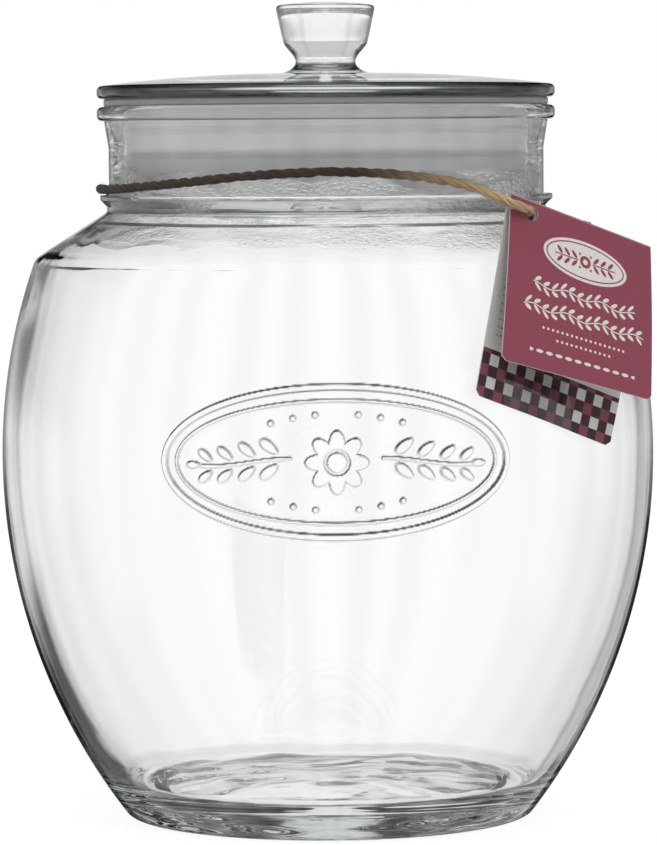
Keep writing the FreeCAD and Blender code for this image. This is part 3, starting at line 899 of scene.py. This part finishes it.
def emboss(jar, outline):
    """Divides the front of the barrel finely and raises the emblem there. The point attribute "edge" holds
    painted shade: how steep a place is, most of all where it faces up and to the side."""
    mesh = bmesh.new()
    mesh.from_mesh(jar.data)
    layer = mesh.verts.layers.float.new("edge")
    mouth = int(np.argmax(outline[:, 1]))
    outer = outline[:mouth] / MM
    near = outer[np.abs(outer[:, 1] - EMBLEM_HEIGHT) < 35]
    curve = np.polyfit(near[:, 1] - EMBLEM_HEIGHT, near[:, 0], 7)

    def place(point):
        return math.atan2(point.x, -point.y), point.z / MM, math.hypot(point.x, point.y) / MM

    def inside(face):
        turn, height, radius = place(face.calc_center_median())
        across = (turn - EMBLEM_AZIMUTH) / EMBLEM_HALF_WIDTH
        up = (height - EMBLEM_HEIGHT) / EMBLEM_HALF_HEIGHT
        return across**2 + up**2 < 1 and radius > np.polyval(curve, height - EMBLEM_HEIGHT) - 1.5

    chosen = [face for face in mesh.faces if inside(face)]
    edges = list({edge for face in chosen for edge in face.edges})
    done = bmesh.ops.subdivide_edges(mesh, edges=edges, cuts=8, use_grid_fill=True)
    vertices = {item for item in done["geom_inner"] if isinstance(item, bmesh.types.BMVert)}
    vertices = list(vertices | {v for face in chosen if face.is_valid for v in face.verts})
    places = np.array([place(v.co) for v in vertices])
    across, up = (places[:, 0] - EMBLEM_AZIMUTH) * places[:, 2], places[:, 1] - EMBLEM_HEIGHT
    radius = np.polyval(curve, up) + relief(across, up)
    probe = 0.15
    rise_across = (relief(across + probe, up) - relief(across - probe, up)) / (2 * probe)
    rise_up = (relief(across, up + probe) - relief(across, up - probe)) / (2 * probe)
    slope = np.hypot(rise_across, rise_up)
    facing = (0.5 * rise_across - 0.87 * rise_up) / (slope + 1e-9)
    # Painted shade: steep places are darkened, more where they face up and to the side.
    painted_shade = np.clip((slope - 0.35) / 0.6, 0, 1) * (0.62 + 0.38 * facing)
    for vertex, (turn, height, _), reach, dark in zip(vertices, places, radius, painted_shade):
        vertex.co = (reach * math.sin(turn) * MM, -reach * math.cos(turn) * MM, height * MM)
        vertex[layer] = float(dark)
    mesh.to_mesh(jar.data)
    mesh.free()


def eased(outline, corners, first, low, high, reach):
    """The same outline with its turns between two heights drawn out, as they are inside blown glass."""
    steps = np.linalg.norm(np.diff(outline, axis=0), axis=1)
    along = np.concatenate([[0], np.cumsum(steps)])
    lengths = np.gradient(along)
    points = outline.copy()
    for number in range(first, len(outline)):
        height = outline[number][1]
        fade = share((height - low) / 0.008) * share((high - height) / 0.008)
        if fade <= 0:
            continue
        weights = lengths * np.exp(-(((along - along[number]) / (reach * fade)) ** 2) / 2)
        weights[:first] = 0
        points[number] = (outline * weights[:, None]).sum(axis=0) / weights.sum()
        corners[number] = False
    return points


# How far the shoulder's inner face lies above the CAD model's.
SHOULDER_RISE = 3.2 * MM


def make_jar():
    outline, corners = refined(*meridian("jar"), 4.0 * MM, 0.25 * MM)
    mouth = int(np.argmax(outline[:, 1]))
    inside = range(mouth + 3, len(outline))
    outline = eased(outline, corners, inside.start, 0.140, 0.200, 2.5 * MM)
    # The shoulder is thinner than the wall under it.
    for number in inside:
        height = outline[number][1]
        way = share((height - 0.150) / 0.014) * share((0.192 - height) / 0.009)
        outline[number][1] += SHOULDER_RISE * way * way * (3 - 2 * way)

    def uneven(turn, number):
        """The inside of blown glass is wavy, most of all where it is thick."""
        radius, height = outline[number]
        if number <= mouth:
            return 0.0, 0.0
        shoulder = math.exp(-(((height - 0.176) / 0.011) ** 2))
        base = math.exp(-((height / 0.03) ** 2))
        fade = share((0.205 - height) / 0.008)
        around = math.sin(turn), math.cos(turn)
        spot = Vector((around[0] * 2.1, around[1] * 2.1, height / 0.030))
        streak = Vector((around[0] * 9, around[1] * 9, height / 0.007))
        fine = Vector((around[0] * 30, around[1] * 30, height / 0.0035))
        move = (0.13 + 0.05 * shoulder + 0.30 * base) * noise.noise(spot)
        move += (0.015 + 0.10 * shoulder + 0.10 * base) * noise.noise(streak)
        move += 0.16 * shoulder * noise.noise(fine)
        if radius < 0.052:
            bent = radius * 75 * around[1] + 0.6 * math.sin(radius * 90)
            swirl = Vector((radius * 42 * around[0], bent, 3))
            ripple = Vector((radius * 70 * around[0], radius * 210 * around[1], 8))
            lift = 1.5 * noise.noise(swirl) + 0.22 * noise.noise(ripple)
            return 0.0, lift * MM * min(1, radius / 0.01)
        return move * fade * MM, 0.0

    glass = glass_material("jar_glass", 0.04 * MM, 9.0)
    s = Shader(glass)
    # Painted shade: the emblem's steep sides are darkened in the glass's colour, for the dark of the room
    # they gather, some more than others.
    patchy = s.noise(s.coordinates("Object"), 90.0, 2)
    painted_shade = s.attribute("edge") * (0.55 + patchy * 0.8)
    # Painted shade: the two bends inside the foot of the neck are darkened in the same way.
    x, y, z = s.separate(s.coordinates("Object"))
    inner_face = (s.math("SQRT", x * x + y * y) + z * 1.6).smooth(0.3615, 0.3605)
    broken = s.noise(s.combine(x * 45, y * 45, z * 500), 1.0, 2).smooth(0.30, 0.50)
    for height in (0.1842, 0.1812):
        line = (z - height).absolute().smooth(0.6 * MM, 0.3 * MM)
        painted_shade = painted_shade.most(line * inner_face * broken * 0.85)
    # Painted shade: the glass's colour darkens where it is seen edge on, so its edges are dark from every
    # side.
    edge = s.facing().smooth(0.80, 0.95)
    clear = 1 - painted_shade.most(edge * 0.75).least(0.93)
    s.set("Base Color", clear * clear)
    jar = lathe("jar_glass", outline, corners, False, 216, glass, uneven)
    emboss(jar, outline)
    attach(jar, "root")
    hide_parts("jar")


# The knob's foot, its waist and the lower end of its grip, each as a radius and a height.
KNOB_FOOT, KNOB_WAIST, KNOB_GRIP = (13.6 * MM, 227.4 * MM), (9.15 * MM, 231.0 * MM), (12.98 * MM, 237.6 * MM)


def slim_stem(outline, corners):
    """The lid's outline with the knob's stem drawn in, in one sweep from its foot to its grip."""
    (foot, low), (waist, middle), (grip, high) = KNOB_FOOT, KNOB_WAIST, KNOB_GRIP
    stem = [n for n, (r, z) in enumerate(outline) if r < 14.5 * MM and low - 0.1 * MM < z < high]
    sweep = []
    for height in np.linspace(low, high, 34):
        if height < middle:
            way = (middle - height) / (middle - low)
            sweep.append((waist + (foot - waist) * way**2.3, height))
        else:
            way = (height - middle) / (high - middle)
            sweep.append((waist + (grip - waist) * way * way * (3 - 2 * way), height))
    outline = np.concatenate([outline[: stem[0]], sweep, outline[stem[-1] + 1 :]])
    corners = corners[: stem[0]] + [True] + [False] * (len(sweep) - 1) + corners[stem[-1] + 1 :]
    return outline, corners


def make_lid():
    outline, corners = slim_stem(*refined(*meridian("lid"), 3 * MM))
    glass = glass_material("lid_glass", 0.01 * MM)
    s = Shader(glass)
    # Painted shade: the rim's colour darkens towards its ends, for the dark of the room it gathers there.
    x, y, z = s.separate(s.coordinates("Object"))
    facing = s.facing()
    radius = s.math("SQRT", x * x + y * y)
    rim = radius.smooth(0.0640, 0.0665) * z.smooth(0.2190, 0.2196) * z.smooth(0.2252, 0.2243)
    streak = s.noise(s.combine(x * 60, y * 60, z * 900), 1.0, 2)
    dark = (facing + (streak - 0.5) * 0.12).smooth(0.02, 0.15) * rim
    # The knob is clear, with a painted dark edge all round where it is seen edge on.
    knob = radius.smooth(0.0168, 0.0160) * z.smooth(0.2276, 0.2284) * z.smooth(0.2484, 0.2476)
    dark = dark.most(facing.smooth(0.46, 0.72) * knob)
    s.set("Base Color", s.mix(dark, (1.0, 1.0, 1.0), (0.04, 0.042, 0.042)))
    lid = lathe("lid_glass", outline, corners, False, 240, glass)
    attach(lid, "root")
    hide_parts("lid")


def make_seal():
    outline, corners = refined(*meridian("seal"), 3 * MM)
    material, s = new_material("silicone")
    x, y, z = s.separate(s.coordinates("Object"))
    cloud = s.noise(s.combine(x * 30, y * 30, z * 120), 1.0, 3)
    # Painted light and shade: the sleeve is painted light for the light it lets through where the lid's plug
    # stands inside it, and the flange, which lets none through, is painted dark.
    sleeve = s.ramp(cloud, (0.66, 0.665, 0.67), (0.78, 0.785, 0.79))
    foot = s.ramp(cloud, (0.42, 0.425, 0.43), (0.52, 0.525, 0.53))
    flange = s.ramp(cloud, (0.26, 0.265, 0.27), (0.32, 0.325, 0.33))
    colour = s.mix(z.smooth(0.2030, 0.2055), foot, sleeve)
    s.set("Base Color", s.mix(z.smooth(0.2160, 0.2175), colour, flange))
    s.set("Roughness", 0.42)
    s.set("IOR", 1.41)
    grain = s.noise(s.coordinates("Object"), 900.0, 2)
    s.bump(grain, 0.15, 0.05 * MM)
    seal = lathe("silicone_seal", outline, corners, True, 200, material)
    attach(seal, "root")
    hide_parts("seal")


# -------- the stage


def make_floor():
    size, drop = 6.0, 0.4 * MM
    corners = [(x * size, y * size, -drop) for x, y in ((-1, -1), (1, -1), (1, 1), (-1, 1))]
    floor = new_mesh_object("floor", corners, [(0, 1, 2, 3)])
    material, s = new_material("floor")
    s.tree.nodes.remove(s.surface)
    plain, dim = s.node("ShaderNodeBsdfDiffuse"), s.node("ShaderNodeBsdfDiffuse")
    for node, grey in ((plain, 0.82), (dim, 0.20)):
        node.inputs["Color"].default_value = (grey, grey, grey, 1)
    glow = s.node("ShaderNodeEmission")
    glow.inputs["Strength"].default_value = 0.86
    both, pick = s.node("ShaderNodeAddShader"), s.node("ShaderNodeMixShader")
    s.link(s.ray("Is Camera Ray"), pick.inputs[0])
    for node, socket in (
        (dim, both.inputs[0]),
        (glow, both.inputs[1]),
        (plain, pick.inputs[1]),
        (both, pick.inputs[2]),
        (pick, s.tree.nodes["Material Output"].inputs["Surface"]),
    ):
        s.tree.links.new(node.outputs[0], socket)
    floor.data.materials.append(material)
    # The glass shows the studio's own white below the horizon.
    floor.visible_glossy = floor.visible_transmission = False


def make_world():
    """White behind the jar. The glass reflects a white studio with soft grey flags all round it and black
    ones ahead, and through the glass the studio is a little darker above and below."""
    bpy.context.scene.world = bpy.data.worlds.new("studio")
    s = Shader(bpy.context.scene.world)
    x, y, z = s.separate(s.coordinates("Generated"))
    turn = s.math("ARCTAN2", x, y) * (180 / math.pi)
    rise = s.math("ARCSINE", z) * (180 / math.pi)
    away = turn.absolute()
    # How far a direction is from the nearest of eight that are 45 degrees apart.
    off = (((away + 22.5) / 45).fraction() * 45 - 22.5).absolute()
    others = off.smooth(3, 13) * off.smooth(22.5, 13) * 0.36
    level_ahead = rise.smooth(-6, -3) * rise.smooth(7, 4) * 0.5
    ahead = away.smooth(7.5, 9.5) * away.smooth(22.5, 19.0) * (0.96 - level_ahead)
    beside = away.smooth(19, 23) * away.smooth(88, 62)
    above = beside * rise.smooth(-4, 5) * 0.68
    right = beside * turn.smooth(0, 1) * rise.smooth(2, -4) * 0.26
    overhead = away.smooth(5, 10) * away.smooth(100, 80) * rise.smooth(14, 22) * rise.smooth(62, 48) * 0.9
    low_left = turn.smooth(-14, -18) * turn.smooth(-52, -40) * rise.smooth(-9, -16) * 0.85
    studio = 0.95 + away.smooth(60, 120) * 0.2 - away.smooth(9, 7) * 0.2
    for dark in (others, ahead, above, right, overhead, low_left):
        studio = studio * (1 - dark)
    slot = off.smooth(18.5, 20.5) * 0.12
    table = rise.smooth(-20, -25) * rise.smooth(-44, -38) * 0.15
    ceiling = rise.smooth(14, 20) * 0.40
    through = (1 - slot) * (1 - table) * (1 - ceiling) * 0.975
    bounced = s.ray("Glossy Depth").least(1)
    lit = s.ray("Diffuse Depth").least(1)
    seen = s.ray("Is Camera Ray")
    # The lamps don't shine through glass, so what stands inside it gets their share from here.
    soft = 0.55 + z.smooth(-0.2, 0.9) * 0.35 + s.ray("Transmission Depth").least(1) * 0.5
    level = (1 - bounced) * through + bounced * studio
    level = (1 - lit) * level + lit * soft
    level = (1 - seen) * level + seen
    background = s.tree.nodes["Background"]
    background.inputs["Color"].default_value = (1, 1, 1, 1)
    s.link(level, background.inputs["Strength"])


def make_lamp(name, place, size, energy, aim=(0, 0, 0.12)):
    data = bpy.data.lights.new(name, "AREA")
    data.energy, data.size = energy, size
    lamp = new_object(name, data)
    lamp.location = place
    lamp.visible_glossy = lamp.visible_transmission = False
    lamp.rotation_euler = (Vector(aim) - Vector(place)).to_track_quat("-Z", "Y").to_euler()


def main():
    scene = bpy.context.scene
    scene.view_settings.view_transform = "Standard"
    scene.cycles.max_bounces = scene.cycles.transmission_bounces = 24
    scene.cycles.glossy_bounces = 16
    draw = random.Random(7)
    make_camera()
    line = route_line()
    twine = make_twine(line, draw)
    knot = make_knot(line, draw)
    make_tag()
    make_jar()
    make_lid()
    make_seal()
    make_floor()
    make_world()
    make_lamp("key", (0.9, -1.6, 1.5), 1.2, 9)
    make_lamp("fill", (-1.4, -1.0, 0.9), 1.2, 4)


main()
